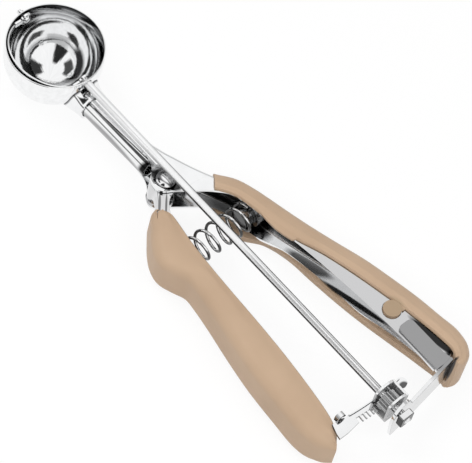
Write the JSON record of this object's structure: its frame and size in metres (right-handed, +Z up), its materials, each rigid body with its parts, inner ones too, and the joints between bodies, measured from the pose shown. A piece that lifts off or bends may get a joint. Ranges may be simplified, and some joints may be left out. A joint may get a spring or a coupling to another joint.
{
  "type": "cookie scoop",
  "caption": "Small cookie scoop with two sprung squeeze handles in soft grips, a round bowl, a long rod and a rack that swings a scraper blade round the bowl.",
  "frame": {"origin": "middle of the flat spot under the bowl, on the table", "axes": "+X from the bowl to the tail along the rod, +Y toward the fixed handle, +Z up"},
  "size_m": [0.23, 0.0795, 0.029],
  "materials": {
    "polished_steel": "polished stainless sheet",
    "bright_steel": "bright drawn wire and rod",
    "tan_grip": "satin soft moulding"
  },
  "bodies": {
    "frame": {"bowl": "polished_steel", "ferrule": "polished_steel", "fixed_handle": "polished_steel", "right_grip": "tan_grip", "rod_arm": "polished_steel", "arm_rivet_1": "polished_steel", "arm_rivet_2": "polished_steel", "pivot_rivet": "polished_steel", "rack_guide": "polished_steel", "spring_seat_right": "polished_steel", "spring": "bright_steel"},
    "squeeze_lever": {"lever": "polished_steel", "left_grip": "tan_grip", "gear_rack": "polished_steel", "rack_rivet_1": "polished_steel", "rack_rivet_2": "polished_steel", "spring_seat_left": "polished_steel"},
    "scraper": {"rod": "bright_steel", "scraper_blade": "polished_steel", "far_pin": "polished_steel", "pinion": "polished_steel", "rod_nut": "polished_steel"}
  },
  "joints": [
    {"name": "lever_hinge", "type": "hinge", "parent": "frame", "child": "squeeze_lever", "pos_m": [0.0702, -0.0016, 0.0115], "axis": [0, 0, 1], "range_deg": [0, 4.95], "stiffness_Nm_per_rad": 5, "springref_deg": -6.88, "deforming": ["spring"]},
    {"name": "scraper_turn", "type": "hinge", "parent": "frame", "child": "scraper", "pos_m": [0, 0, 0.0234], "axis": [1, 0, 0], "range_deg": [0, 180]}
  ],
  "couplings": [
    {"joint": "scraper_turn", "follows": "lever_hinge", "ratio": 36.39}
  ]
}
